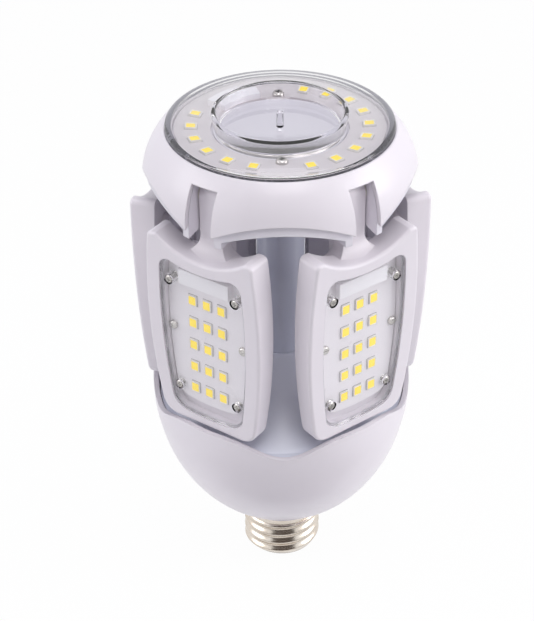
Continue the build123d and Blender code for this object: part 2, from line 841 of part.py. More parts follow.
ring_led_turns = [ring_led_step_angle * i for i in range(1, ring_leds_right + 1)]
ring_led_turns += [-ring_led_step_angle * i for i in range(1, ring_leds_left + 1)]
with BuildPart() as ring_leds:
    with BuildSketch(Plane.XY.offset(ring_board_top_z)):
        for turn_angle in ring_led_turns:
            with PolarLocations(ring_led_circle_radius, 1, turn_angle - first_wing_angle):
                Rectangle(ring_led_size, ring_led_size)
    extrude(amount=ring_led_height)
ring_leds.part.label = "ring_leds"
export_step(ring_leds.part, "parts/ring_leds.step")

with BuildPart() as ring_screws:
    with Locations((0, 0, ring_board_top_z)):
        with PolarLocations(ring_screw_circle_radius, 2, first_wing_angle):
            add(long_screw)
ring_screws.part.label = "ring_screws"
export_step(ring_screws.part, "parts/ring_screws.step")

with BuildPart() as wire_cover:
    with BuildSketch(Plane.XZ):
        with Locations((wire_cover_inner_radius, ring_board_top_z)):
            Rectangle(
                wire_cover_outer_radius - wire_cover_inner_radius,
                wire_cover_height,
                align=(Align.MIN, Align.MIN),
            )
    revolve(axis=Axis.Z, revolution_arc=wire_cover_arc_angle)
    with BuildSketch(Plane.XY.offset(ring_board_top_z)):
        with PolarLocations(lead_exit_circle_radius, 1, wire_cover_arc_angle / 2):
            Circle(lead_spacing)
    extrude(amount=wire_cover_height - ring_led_height, mode=Mode.SUBTRACT)
with BuildPart() as wire_cover_placed:
    add(wire_cover.part, rotation=(0, 0, wire_cover_angle - wire_cover_arc_angle / 2))
wire_cover_placed.part.label = "wire_cover"
export_step(wire_cover_placed.part, "parts/wire_cover.step")

# Seal and ring lens
with BuildPart() as ring_gasket:
    with BuildSketch(Plane.XY.offset(seat_z)):
        Circle(lens_radius)
        Circle(lens_radius - ring_gasket_width, mode=Mode.SUBTRACT)
    extrude(amount=ring_gasket_thickness)
ring_gasket.part.label = "ring_gasket"
export_step(ring_gasket.part, "parts/ring_gasket.step")

lens_rim_outer = well_mouth_radius + lens_rim_width
roof_slope = (lens_rim_height - lens_shoulder_height) / (lens_shoulder_radius - lens_rim_outer)
lens_cavity_radius = lens_radius - lens_seat_width
cavity_peak_radius = lens_foot_radius + lens_rim_width
cavity_peak = lens_rim_height - lens_roof - roof_slope * (cavity_peak_radius - lens_rim_outer)
cavity_eave = lens_seat_height + lens_edge_height - lens_roof
with BuildPart() as ring_lens:
    with BuildSketch(Plane.XZ.offset(0)):
        with BuildLine():
            Polyline(
                (0, light_plane_z - lens_floor),
                (lens_foot_radius, light_plane_z - lens_floor),
                (cavity_peak_radius, light_plane_z + cavity_peak),
                (lens_cavity_radius, light_plane_z + cavity_eave),
                (lens_cavity_radius, light_plane_z + lens_seat_height),
                (lens_radius, light_plane_z + lens_seat_height),
                (lens_radius, light_plane_z + lens_edge_height),
                (lens_shoulder_radius, light_plane_z + lens_shoulder_height),
                (lens_rim_outer, light_plane_z + lens_rim_height),
                (well_mouth_radius, light_plane_z + lens_rim_height),
                (well_floor_radius + well_corner, light_plane_z + well_corner),
                (well_floor_radius, light_plane_z),
                (lens_post_radius, light_plane_z),
                (lens_post_radius, light_plane_z + lens_post_height),
                (0, light_plane_z + lens_post_height),
                close=True,
            )
        make_face()
    revolve(axis=Axis.Z)
ring_lens.part.label = "ring_lens"
export_step(ring_lens.part, "parts/ring_lens.step")


def wing_outline(plane):
    """Bowed panel with a scooped top, as seen from the front."""
    with BuildSketch(plane) as outline:
        with BuildLine():
            Line((-wing_bottom_half, 0), (wing_bottom_half, 0))
            ThreePointArc(
                (wing_bottom_half, 0), (wing_middle_half, wing_middle_height), (wing_top_half, wing_height)
            )
            Line((wing_top_half, wing_height), (scoop_half, wing_height))
            ThreePointArc(
                (scoop_half, wing_height), (0, wing_height - scoop_depth), (-scoop_half, wing_height)
            )
            Line((-scoop_half, wing_height), (-wing_top_half, wing_height))
            ThreePointArc(
                (-wing_top_half, wing_height), (-wing_middle_half, wing_middle_height), (-wing_bottom_half, 0)
            )
        make_face()
        fillet(outline.vertices().group_by(Axis.Y)[0], wing_bottom_corner)
        horn_corners = outline.vertices().group_by(Axis.Y)[-1].sort_by(Axis.X)
        fillet([horn_corners[0], horn_corners[-1]], wing_top_corner)
        scoop_corners = outline.vertices().sort_by(lambda vertex: abs(abs(vertex.X) - scoop_half))
        fillet(scoop_corners[:2], scoop_corner)
    return outline.sketch


def bowed_panel(plane, halves, heights, corner, inset=0.0):
    """Panel with bowed sides and round corners; halves and heights from bottom to top."""
    low, middle, high = ((half, height) for half, height in zip(halves, heights))
    with BuildSketch(plane) as outline:
        with BuildLine():
            Line((-low[0], low[1]), low)
            ThreePointArc(low, middle, high)
            Line(high, (-high[0], high[1]))
            ThreePointArc((-high[0], high[1]), (-middle[0], middle[1]), (-low[0], low[1]))
        make_face()
        fillet(outline.vertices(), corner)
        if inset:
            offset(amount=-inset)
    return outline.sketch


def window_outline(plane, inset=0.0, rise=0.0):
    """Outline of the wing's window, with bowed sides and a sagging top, drawn in by the inset."""
    bottom_half = window_bottom_half - inset
    middle_half = window_middle_half - inset
    top_half = window_top_half - inset
    low = window_low + inset + rise
    low_end = low + window_bottom_bow
    high = wing_height - scoop_depth - window_high_margin - inset
    high_end = high + window_top_sag
    with BuildSketch(plane) as outline:
        with BuildLine():
            ThreePointArc((-bottom_half, low_end), (0, low), (bottom_half, low_end))
            ThreePointArc((bottom_half, low_end), (middle_half, window_middle), (top_half, high_end))
            ThreePointArc((top_half, high_end), (0, high), (-top_half, high_end))
            ThreePointArc((-top_half, high_end), (-middle_half, window_middle), (-bottom_half, low_end))
        make_face()
        fillet(outline.vertices().group_by(Axis.Y)[0], window_bottom_corner - inset)
        fillet(outline.vertices().group_by(Axis.Y)[-1], window_top_corner - inset)
    return outline.sketch


def pad_outline(plane):
    """Outline of the finned pad on the wing's back."""
    halves = [half - back_pad_inset for half in (wing_bottom_half, wing_middle_half, wing_top_half)]
    heights = (back_pad_inset, wing_middle_height, wing_height - scoop_depth - back_pad_inset)
    return bowed_panel(plane, halves, heights, wing_bottom_corner)


# Depths of one wing; those of the window are measured square to its leaning face
lens_front_depth = lens_recess
lens_back_depth = lens_front_depth + wing_lens_thickness
ledge_depth = lens_back_depth + wing_gasket_thickness
rim_back_x = wing_foot_radius - wing_foot_depth
pocket_floor_x = rim_back_x + wing_floor
board_front_x = pocket_floor_x + wing_board_thickness
pad_back_x = rim_back_x - back_pad_depth
arm_front_x = hinge_radius + arm_thickness / 2
arm_back_x = hinge_radius - arm_thickness / 2
hinge_height = hinge_z - wing_bottom_z
scoop_low = wing_height - scoop_depth
face_slope = tan(radians(face_tilt_angle))
face_cosine = cos(radians(face_tilt_angle))


def leaning(depth):
    """Plane along the wing's leaning face, drawn back by a depth square to it."""
    return Plane(
        origin=(
            wing_foot_radius - depth * face_cosine,
            0,
            wing_bottom_z + depth * face_cosine * face_slope,
        ),
        x_dir=(0, 1, 0),
        z_dir=(face_cosine, 0, -face_cosine * face_slope),
    )


def depth_x(depth, height):
    """Distance from the lamp's axis of a plane along the leaning face, at a height on the wing."""
    return wing_foot_radius + face_slope * height - depth / face_cosine


corner_places = [
    (-corner_screw_across_low, corner_screw_low),
    (corner_screw_across_low, corner_screw_low),
    (-corner_screw_across_high, corner_screw_high),
    (corner_screw_across_high, corner_screw_high),
]
middle_places = [(-middle_screw_across, middle_screw_height), (middle_screw_across, middle_screw_height)]

# Root of the arm: flares to both sides and to the front, down into the scooped top
flare_half = arm_width / 2 + arm_flare
root_low = scoop_low - wing_face_edge
root_front_x = arm_front_x + root_reach
with BuildPart() as arm_root:
    with BuildSketch(facing_out(pad_back_x, wing_bottom_z)):
        with BuildLine():
            left = EllipticalCenterArc((-flare_half, wing_height), arm_flare, scoop_depth, 270, arc_size=90)
            right = EllipticalCenterArc((flare_half, wing_height), arm_flare, scoop_depth, 180, arc_size=90)
            Line(left @ 1, right @ 0)
            Polyline(right @ 1, (flare_half, root_low), (-flare_half, root_low), left @ 0)
        make_face()
    extrude(amount=root_front_x - pad_back_x)
    with BuildSketch(Plane.XZ.shift_origin((0, 0, wing_bottom_z))):
        with BuildLine():
            root = EllipticalCenterArc((root_front_x, wing_height), root_reach, scoop_depth, 180, arc_size=90)
            Polyline(root @ 1, (root_front_x, root_low), (pad_back_x, root_low), (pad_back_x, wing_height), root @ 0)
        make_face()
    extrude(amount=flare_half, both=True, mode=Mode.INTERSECT)

# Wing frame: cast tray with a finned back, an arm and a hinge knuckle
with BuildPart() as wing_frame:
    extrude(
        wing_outline(facing_out(rim_back_x, wing_bottom_z)),
        amount=depth_x(0, wing_height) - rim_back_x + edge_spare,
    )
    split(bisect_by=leaning(0), keep=Keep.BOTTOM)
    face_edges = wing_frame.faces().sort_by(Axis.X)[-1].outer_wire().edges()
    fillet(face_edges, wing_face_edge)
    extrude(pad_outline(facing_out(rim_back_x, wing_bottom_z)), amount=-back_pad_depth)
    with BuildSketch(facing_out(pad_back_x, wing_bottom_z)):
        with Locations((0, (fin_slot_low + fin_slot_high) / 2)):
            with GridLocations(fin_slot_pitch, 0, fin_slots, 1):
                SlotOverall(fin_slot_high - fin_slot_low, fin_slot_width, rotation=90)
    extrude(amount=fin_slot_depth, mode=Mode.SUBTRACT)
    with BuildSketch(Plane.XZ.shift_origin((0, 0, wing_bottom_z))):
        with BuildLine():
            Line((arm_back_x, hinge_height), (arm_back_x, scoop_low))
            Line((arm_back_x, scoop_low), (pad_back_x, spine_height))
            Line((pad_back_x, spine_height), (rim_back_x, spine_height))
            Line((rim_back_x, spine_height), (rim_back_x, scoop_low - window_low))
            Line((rim_back_x, scoop_low - window_low), (arm_front_x, scoop_low - wing_face_edge))
            Line((arm_front_x, scoop_low - wing_face_edge), (arm_front_x, hinge_height))
            Line((arm_front_x, hinge_height), (arm_back_x, hinge_height))
        make_face()
        with Locations((hinge_radius, hinge_height)):
            Circle(arm_thickness / 2)
    extrude(amount=arm_width / 2, both=True)
    add(arm_root.part)
    extrude(window_outline(leaning(-edge_spare)), amount=-edge_spare - ledge_depth, mode=Mode.SUBTRACT)
    extrude(
        window_outline(facing_out(pocket_floor_x, wing_bottom_z), wing_ledge),
        amount=depth_x(0, wing_height) - pocket_floor_x,
        mode=Mode.SUBTRACT,
    )
    with BuildSketch(facing_out(pocket_floor_x, wing_bottom_z)):
        with Locations(*corner_places, *middle_places):
            Circle(screw_shank_radius + screw_fit)
    extrude(amount=-screw_bite, mode=Mode.SUBTRACT)
    with BuildSketch(Plane.XZ):
        with Locations((hinge_radius, hinge_z)):
            Circle(pin_radius + pin_running_fit)
    extrude(amount=arm_width, both=True, mode=Mode.SUBTRACT)

# Wing board with a wire terminal
with BuildPart() as wing_board:
    extrude(
        window_outline(facing_out(pocket_floor_x, wing_bottom_z), wing_ledge + wing_board_fit, wing_board_rise),
        amount=wing_board_thickness,
    )
    with BuildSketch(facing_out(board_front_x, wing_bottom_z)):
        with Locations((0, wing_terminal_place)):
            Rectangle(*wing_terminal_size)
    extrude(amount=wing_terminal_height)
    with BuildSketch(facing_out(board_front_x, wing_bottom_z)):
        with Locations(*corner_places, *middle_places):
            Circle(screw_shank_radius + screw_fit)
    extrude(amount=-wing_board_thickness, mode=Mode.SUBTRACT)

# Light packages on the wing board
with BuildPart() as wing_leds:
    with BuildSketch(facing_out(board_front_x, wing_bottom_z)):
        with Locations((0, wing_led_height_above_bottom)):
            with GridLocations(wing_led_pitch_across, wing_led_pitch_up, wing_led_columns, wing_led_rows):
                Rectangle(wing_led_size, wing_led_size)
    extrude(amount=wing_led_height)

# Seal on the window's ledge
with BuildPart() as wing_gasket:
    extrude(window_outline(leaning(ledge_depth), wing_gasket_fit), amount=wing_gasket_thickness)
    extrude(
        window_outline(leaning(ledge_depth), wing_ledge - wing_gasket_fit),
        amount=wing_gasket_thickness,
        mode=Mode.SUBTRACT,
    )

# Clear lens with screw bosses that reach down to the board
screw_end_x = pocket_floor_x - screw_bite
with BuildPart() as wing_lens:
    extrude(window_outline(leaning(lens_back_depth), wing_lens_fit), amount=wing_lens_thickness)
    for across, height in corner_places:
        middle_x = depth_x(lens_front_depth + wing_lens_thickness / 2, height)
        with BuildSketch(facing_out(board_front_x, wing_bottom_z)):
            with Locations((across, height)):
                Circle(lens_boss_radius)
        extrude(amount=middle_x - board_front_x)
    for across, height in corner_places:
        seat_x = depth_x(lens_front_depth, height) - screw_head_height - screw_recess
        with BuildSketch(facing_out(seat_x, wing_bottom_z)):
            with Locations((across, height)):
                Circle(screw_head_radius + screw_recess)
        extrude(amount=screw_head_height + edge_spare, mode=Mode.SUBTRACT)
        with BuildSketch(facing_out(board_front_x, wing_bottom_z)):
            with Locations((across, height)):
                Circle(screw_shank_radius + screw_fit)
        extrude(amount=seat_x - board_front_x, mode=Mode.SUBTRACT)

# Wing screws: four hold the lens, two hold the board
board_screw = screw(screw_shank_radius, screw_head_radius, screw_head_height, board_front_x - screw_end_x)
with BuildPart() as wing_screws:
    for across, height in corner_places:
        seat_x = depth_x(lens_front_depth, height) - screw_head_height - screw_recess
        with Locations(facing_out(seat_x, wing_bottom_z)):
            with Locations((across, height)):
                add(screw(screw_shank_radius, screw_head_radius, screw_head_height, seat_x - screw_end_x))
    with Locations(facing_out(board_front_x, wing_bottom_z)):
        with Locations(*middle_places):
            add(board_screw)

# Five wings, turned to their places
wing_pieces = {
    "wing_frame": wing_frame,
    "wing_board": wing_board,
    "wing_leds": wing_leds,
    "wing_gasket": wing_gasket,
    "wing_lens": wing_lens,
    "wing_screws": wing_screws,
}
for number, angle in enumerate(wing_angles, start=1):
    for name, piece in wing_pieces.items():
        with BuildPart() as placed:
            add(piece.part, rotation=(0, 0, angle))
        placed.part.label = f"{name}_{number}"
        export_step(placed.part, f"parts/{name}_{number}.step")
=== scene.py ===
import json
import math

import bmesh
import bpy
from mathutils import Matrix, Vector


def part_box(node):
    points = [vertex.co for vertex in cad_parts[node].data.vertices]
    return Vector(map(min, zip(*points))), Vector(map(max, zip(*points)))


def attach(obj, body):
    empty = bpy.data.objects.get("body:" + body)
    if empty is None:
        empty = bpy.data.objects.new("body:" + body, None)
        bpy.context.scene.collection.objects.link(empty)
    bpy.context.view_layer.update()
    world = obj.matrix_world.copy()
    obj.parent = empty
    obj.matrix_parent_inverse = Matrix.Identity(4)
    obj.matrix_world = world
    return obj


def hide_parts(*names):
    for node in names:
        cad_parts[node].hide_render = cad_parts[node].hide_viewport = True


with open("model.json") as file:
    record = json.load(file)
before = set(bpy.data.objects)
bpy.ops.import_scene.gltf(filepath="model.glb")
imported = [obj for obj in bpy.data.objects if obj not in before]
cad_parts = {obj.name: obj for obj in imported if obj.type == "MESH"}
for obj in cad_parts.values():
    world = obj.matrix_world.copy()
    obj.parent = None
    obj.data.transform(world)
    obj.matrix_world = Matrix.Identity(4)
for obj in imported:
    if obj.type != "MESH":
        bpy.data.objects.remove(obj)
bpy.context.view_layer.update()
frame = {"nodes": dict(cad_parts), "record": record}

# Screw-base garage lamp with five folding light wings. Metres, +Z up, contact tip at the origin.
# A wing is drawn pointing along +X, across as Y and up as Z, and then turned to its place.

MM = 0.001
WING_COUNT = 5
WING_TURNS = [math.radians(90 + 360 / WING_COUNT * i) for i in range(WING_COUNT)]

# Camera: place in millimetres, turns in degrees
CAMERA_PLACE = (-10.14, -448.63, 403.04)
CAMERA_TURN = 0.718
CAMERA_PITCH = 33.969
CAMERA_ROLL = 0.583
CAMERA_LENS = 96.348
SENSOR_HEIGHT = 36.0

# Light: place in metres, width in metres, power in watts
SOFTBOX_AIM = (0, 0, 0.1)
WARM_WHITE = (1.0, 0.985, 0.985)
COOL_WHITE = (0.98, 0.98, 1.0)
SOFTBOXES = [
    ("key_right", (0.80, -0.14, 0.42), 0.55, 4.0, WARM_WHITE),
    ("key_left", (-0.80, -0.14, 0.42), 0.55, 2.5, WARM_WHITE),
    ("front_high", (0.05, -0.50, 0.95), 0.5, 2.9, WARM_WHITE),
    ("top_soft", (0.0, 0.1, 0.95), 0.5, 1.6, COOL_WHITE),
]
SOFT_LIGHT_COLOUR = (0.84, 0.89, 1.0, 1)
SOFT_LIGHT_STRENGTH = 0.44
DIM_CARD_COLOUR = (0.10, 0.075, 0.06, 1)
DIM_CARD_ROUGHNESS = 0.9
DIM_WALL_SIZE = (1.3, 1.4)
DIM_WALL_PLACE = (0, -1.0, 0.7)
DIM_FLOOR_SIZE = (0.17, 0.40)
DIM_FLOOR_PLACE = (0, -0.24, 0.0002)
FLOOR_HALF_SIZE = 4.0
FLOOR_DROP = 0.0005
FLOOR_COLOUR = (0.86, 0.86, 0.87, 1)
FLOOR_GLOW_SHARE = 0.97

# Finishes
NOISE_MIDDLE = (0.3, 0.7)
COAT_ROUGHNESS = 0.08
# Strength of the painted glow: emission on the light filling, though the lamp is not lit
PAINTED_GLOW_STRENGTH = 0.3
EDGE_SAMPLES = 6
CLEAR_ROUGHNESS = 0.02
CLEAR_IOR = 1.5
CLEAR_FLOW_DEPTH = 2e-5
CLEAR_FLOW_STRENGTH = 0.25
CLEAR_SOFT_LIGHT = (0.93, 0.93, 0.94, 1)

# Sizes of the pieces, in millimetres
RING_LED_CIRCLE = 26.9
RING_LED_STEP = 18
RING_LED_TURNS = [RING_LED_STEP * i - 90 for i in range(1, 10)]
RING_LED_TURNS += [-RING_LED_STEP * i - 90 for i in range(1, 7)]
RING_SCREW_CIRCLE = 22.9
RING_SCREW_TURNS = (90, -90)
RING_SCREW_HEAD_RADIUS = 1.9
RING_SCREW_SHANK_RADIUS = 1.1
RING_LED = {
    "case": (3.3, 3.7),
    "wall": 0.28,
    "filling": (2.5, 2.7),
    "drop": 0.1,
    "pads": (3.5, 4.2),
}
WING_LED = {
    "case": (3.1, 3.6),
    "wall": 0.22,
    "filling": (2.5, 2.8),
    "drop": 0.08,
    "pads": (3.4, 4.1),
}
WING_LED_COLUMNS = [-5.41, 0.0, 5.41]
WING_LED_ROWS = [13.14, 21.27, 29.4, 37.53, 45.66]
CASE_CORNER = 0.25
CUP_DEPTH = 0.14
CUP_DRAFT = 0.12
FILLING_FOOT_DROP = 0.3
FILLING_CORNER = 0.3
FILLING_CROWN_INSET = 0.35
FILLING_CROWN_RISE = 0.05
PADS_HEIGHT = 0.06
PADS_CORNER = 0.2
PADS_EDGE = 0.02

LOW_SCREWS = [(-11.1, 12.5), (11.1, 12.5)]
HIGH_SCREWS = [(-12.3, 52.2), (12.3, 52.2)]
MIDDLE_SCREWS = [(-13.2, 34.0), (13.2, 34.0)]
WING_SCREW_HEAD_RADIUS = 1.5
WING_SCREW_HEAD_HEIGHT = 1.0
WING_SCREW_SHANK_RADIUS = 0.9
WING_FOOT_RADIUS = 40.3
FACE_LEAN = math.radians(2.2)
LENS_RECESS = 0.25
SCREW_RECESS = 0.15
SCREW_SEAT_DEPTH = LENS_RECESS / math.cos(FACE_LEAN) + SCREW_RECESS + WING_SCREW_HEAD_HEIGHT
TERMINAL_SIZE = (18.6, 5.4, 2.0)
TERMINAL_SKIN = (0.06, 0.06, 0.04)
TERMINAL_HEIGHT = 54.1
TERMINAL_CORNER = 0.5
TERMINAL_EDGE = 0.35

# Pan head screw, as shares of the head's radius and height
SCREW_HEAD_PROFILE = [(1.0, 0.0), (1.0, 0.38), (0.94, 0.66), (0.82, 0.87), (0.66, 1.0)]
SCREW_STEPS = 24
CROSS_ARM = 0.52
CROSS_HALF_WIDTH = 0.13
CROSS_DEPTH = 0.5
CROSS_TAPER = 0.7

# Screw shell; its foot and its inside are circles of (radius, height over its low end)
THREAD_PITCH = 3.629
THREAD_CREST = 13.1
THREAD_ROOT = 12.15
THREAD_LOW = 7.0
THREAD_HIGH = 19.0
THREAD_TURNS = 6
THREAD_LEAD_IN_TURNS = 1.5
THREAD_POINTS = 14
THREAD_STEPS = 84
THREAD_RUN_OUT = 0.5
COLLAR_RADIUS = 12.7
COLLAR_WALL = 0.7
COLLAR_EASE = 0.15
COLLAR_RISE = 0.7
SHELL_FOOT = [(11.6, 0.45), (11.0, 0.0)]
SHELL_INSIDE = [(11.4, 3.2), (10.35, 3.1), (10.35, 0.0)]

# Top lens: (radius, height over the well's floor), and the widths of its rounded edges
LENS_FLOOR_THICKNESS = 1.2
LENS_PROFILE = {
    "underside_axis": (0, -LENS_FLOOR_THICKNESS),
    "underside_edge": (19.9, -LENS_FLOOR_THICKNESS),
    "roof_inner": (20.6, 4.3),
    "roof_outer": (32.8, 0.5),
    "seat_inner": (32.8, 0.3),
    "seat_outer": (35.0, 0.3),
    "shoulder_low": (35.0, 1.9),
    "shoulder_high": (33.9, 2.55),
    "rim_outer": (20.3, 5.5),
    "rim_inner": (19.5, 5.5),
    "well_foot": (18.7, 0.5),
    "well_floor": (18.2, 0.0),
    "post_foot": (1.1, 0.0),
    "post_edge": (0.95, 5.0),
    "post_axis": (0, 5.0),
}
LENS_ROUNDINGS = {
    "shoulder_low": 0.45,
    "shoulder_high": 0.45,
    "rim_outer": 0.3,
    "rim_inner": 0.3,
    "roof_inner": 0.3,
    "underside_edge": 0.3,
    "post_edge": 0.2,
}
LENS_STEPS = 128

# Angles, in degrees, over which an edge is drawn sharp
SHARP_ANGLE = 35
SHELL_SHARP_ANGLE = 50
LENS_SHARP_ANGLE = 30

# How near two places are taken as one, in metres
SAME_PLACE = 1e-6
MERGED = 1e-7
THREAD_SEAM = 2e-6
NO_LENGTH = 1e-8


def srgb(red, green, blue):
    """Linear colour of an 8-bit screen colour."""
    parts = [value / 255 for value in (red, green, blue)]
    return tuple(c / 12.92 if c <= 0.04045 else ((c + 0.055) / 1.055) ** 2.4 for c in parts)


# Shader nodes


def noise(tree, vector, scale, detail=2.0, roughness=0.5):
    node = tree.nodes.new("ShaderNodeTexNoise")
    node.inputs["Detail"].default_value = detail
    node.inputs["Roughness"].default_value = roughness
    tree.links.new(vector, node.inputs["Vector"])
    if isinstance(scale, (int, float)):
        node.inputs["Scale"].default_value = scale
    else:
        tree.links.new(scale, node.inputs["Scale"])
    return node.outputs[0]


def spread(tree, value, low, high):
    """Middle part of a noise, mapped to the range between low and high."""
    node = tree.nodes.new("ShaderNodeMapRange")
    node.inputs["From Min"].default_value = NOISE_MIDDLE[0]
    node.inputs["From Max"].default_value = NOISE_MIDDLE[1]
    node.inputs["To Min"].default_value = low
    node.inputs["To Max"].default_value = high
    tree.links.new(value, node.inputs["Value"])
    return node.outputs[0]


def maths(tree, operation, first, second):
    node = tree.nodes.new("ShaderNodeMath")
    node.operation = operation
    for index, value in enumerate((first, second)):
        if isinstance(value, (int, float)):
            node.inputs[index].default_value = value
        else:
            tree.links.new(value, node.inputs[index])
    return node.outputs[0]


def colour_mix(tree, factor, first, second):
    node = tree.nodes.new("ShaderNodeMix")
    node.data_type = "RGBA"
    for index, value in ((0, factor), (6, first), (7, second)):
        tree.links.new(value, node.inputs[index])
    return node.outputs[2]


def shader_mix(tree, factor, first, second, output):
    """Leads a mix of two shaders to the output node."""
    mix = tree.nodes.new("ShaderNodeMixShader")
    for index, value in enumerate((factor, first, second)):
        tree.links.new(value, mix.inputs[index])
    tree.links.new(mix.outputs[0], tree.nodes[output].inputs["Surface"])


def seen_directly(tree):
    """1 for what the camera sees, also mirrored or through glass, and 0 for soft light."""
    path = tree.nodes.new("ShaderNodeLightPath").outputs
    mirrored = maths(tree, "MAXIMUM", path["Is Camera Ray"], path["Is Glossy Ray"])
    return maths(tree, "MAXIMUM", mirrored, path["Is Transmission Ray"])


def new_material(name):
    material = bpy.data.materials.new(name)
    material.use_nodes = True
    return material, material.node_tree


# Camera, studio and floor


def camera_at_photo():
    """Camera at the photo's viewpoint, looking down at the lamp's middle."""
    place = Vector(CAMERA_PLACE) * MM
    turn = math.radians(CAMERA_TURN)
    pitch = math.radians(CAMERA_PITCH)
    roll = math.radians(CAMERA_ROLL)
    ahead = Vector((math.sin(turn), math.cos(turn), 0))
    right = Vector((math.cos(turn), -math.sin(turn), 0))
    look = ahead * math.cos(pitch) - Vector((0, 0, math.sin(pitch)))
    up = ahead * math.sin(pitch) + Vector((0, 0, math.cos(pitch)))
    cam_right = right * math.cos(roll) - up * math.sin(roll)
    cam_up = right * math.sin(roll) + up * math.cos(roll)
    data = bpy.data.cameras.new("photo_camera")
    data.sensor_fit = "VERTICAL"
    data.sensor_height = SENSOR_HEIGHT
    data.lens = CAMERA_LENS
    camera = bpy.data.objects.new("photo_camera", data)
    rows = [(cam_right[i], cam_up[i], -look[i], place[i]) for i in range(3)]
    camera.matrix_world = Matrix((*rows, (0, 0, 0, 1)))
    bpy.context.collection.objects.link(camera)
    bpy.context.scene.camera = camera


def softbox(name, place, size, power, colour):
    """Square area lamp at a place, turned to the lamp's middle."""
    data = bpy.data.lights.new(name, "AREA")
    data.shape = "SQUARE"
    data.size = size
    data.energy = power
    data.color = colour
    lamp = bpy.data.objects.new(name, data)
    lamp.location = place
    aim = Vector(SOFTBOX_AIM) - Vector(place)
    lamp.rotation_euler = aim.to_track_quat("-Z", "Y").to_euler()
    bpy.context.collection.objects.link(lamp)


def studio():
    """White surroundings for the eye, cool soft light for the shadows, and the softboxes."""
    world = bpy.data.worlds.new("studio")
    bpy.context.scene.world = world
    world.use_nodes = True
    tree = world.node_tree
    white = tree.nodes["Background"]
    white.inputs["Color"].default_value = (1, 1, 1, 1)
    white.inputs["Strength"].default_value = 1.0
    soft = tree.nodes.new("ShaderNodeBackground")
    soft.inputs["Color"].default_value = SOFT_LIGHT_COLOUR
    soft.inputs["Strength"].default_value = SOFT_LIGHT_STRENGTH
    shader_mix(tree, seen_directly(tree), soft.outputs[0], white.outputs[0], "World Output")
    for row in SOFTBOXES:
        softbox(*row)


def flat_sheet(name, half_size, stand, material):
    """Flat stage piece, one square face."""
    bm = bmesh.new()
    bmesh.ops.create_grid(bm, x_segments=1, y_segments=1, size=half_size, matrix=stand)
    mesh = bpy.data.meshes.new(name)
    bm.to_mesh(mesh)
    bm.free()
    mesh.materials.append(material)
    sheet = bpy.data.objects.new(name, mesh)
    bpy.context.collection.objects.link(sheet)
    return sheet


def dim_card(name, size, stand, only_mirrored):
    """Dim card for the metal and the clear covers to mirror, out of the camera's sight."""
    material, tree = new_material(name)
    shader = tree.nodes["Principled BSDF"]
    shader.inputs["Base Color"].default_value = DIM_CARD_COLOUR
    shader.inputs["Roughness"].default_value = DIM_CARD_ROUGHNESS
    card = flat_sheet(name, 0.5, stand @ Matrix.Diagonal((*size, 1, 1)), material)
    card.visible_camera = False
    card.visible_transmission = False
    if only_mirrored:
        card.visible_diffuse = False
        card.visible_shadow = False


def dim_cards():
    """One card upright in front of the lamp, and one on the floor that only mirrors show."""
    upright = Matrix.Rotation(math.pi / 2, 4, "X")
    dim_card("dim_wall", DIM_WALL_SIZE, Matrix.Translation(DIM_WALL_PLACE) @ upright, False)
    dim_card("dim_floor_card", DIM_FLOOR_SIZE, Matrix.Translation(DIM_FLOOR_PLACE), True)


def floor():
    """Plain pale floor that stays white to the eye and keeps a trace of the lamp's shadow."""
    material, tree = new_material("floor_white")
    tree.nodes.remove(tree.nodes["Principled BSDF"])
    matt = tree.nodes.new("ShaderNodeBsdfDiffuse")
    matt.inputs["Color"].default_value = FLOOR_COLOUR
    bright = tree.nodes.new("ShaderNodeEmission")
    bright.inputs["Strength"].default_value = 1.0
    share = maths(tree, "MULTIPLY", seen_directly(tree), FLOOR_GLOW_SHARE)
    shader_mix(tree, share, matt.outputs[0], bright.outputs[0], "Material Output")
    plane = flat_sheet("floor", FLOOR_HALF_SIZE, Matrix(), material)
    plane.location = (0, 0, -FLOOR_DROP)


# Effects that several finishes share


def new_group(name, inputs):
    """Shader node group that gives colour, roughness and height; inputs come with their values."""
    group = bpy.data.node_groups.new(name, "ShaderNodeTree")
    for label, value in inputs:
        kind = "NodeSocketColor" if isinstance(value, tuple) else "NodeSocketFloat"
        socket = group.interface.new_socket(label, in_out="INPUT", socket_type=kind)
        socket.default_value = value
    for label, kind in (("Colour", "Color"), ("Roughness", "Float"), ("Height", "Float")):
        group.interface.new_socket(label, in_out="OUTPUT", socket_type=f"NodeSocket{kind}")
    given = group.nodes.new("NodeGroupInput").outputs
    out = group.nodes.new("NodeGroupOutput").inputs
    where = group.nodes.new("ShaderNodeTexCoord").outputs["Object"]
    return group, given, out, where


def moulded_skin_group():
    """Moulded plastic and coated castings: cloudy tone, fine grain and small changes of gloss."""
    group, given, out, where = new_group(
        "moulded_skin",
        [
            ("Colour", (0.8, 0.8, 0.8, 1)),
            ("Shade", (0.7, 0.7, 0.7, 1)),
            ("Gloss", 0.3),
            ("Grain", 700.0),
        ],
    )
    cloud = noise(group, where, scale=38.0, detail=4.0, roughness=0.6)
    tone = spread(group, cloud, 0.0, 0.55)
    grain = noise(group, where, given["Grain"], detail=2.0, roughness=0.6)
    rub = noise(group, where, scale=120.0, detail=3.0, roughness=0.7)
    gloss = maths(group, "ADD", given["Gloss"], spread(group, rub, -0.035, 0.05))
    group.links.new(colour_mix(group, tone, given["Colour"], given["Shade"]), out["Colour"])
    group.links.new(gloss, out["Roughness"])
    group.links.new(grain, out["Height"])
    return group


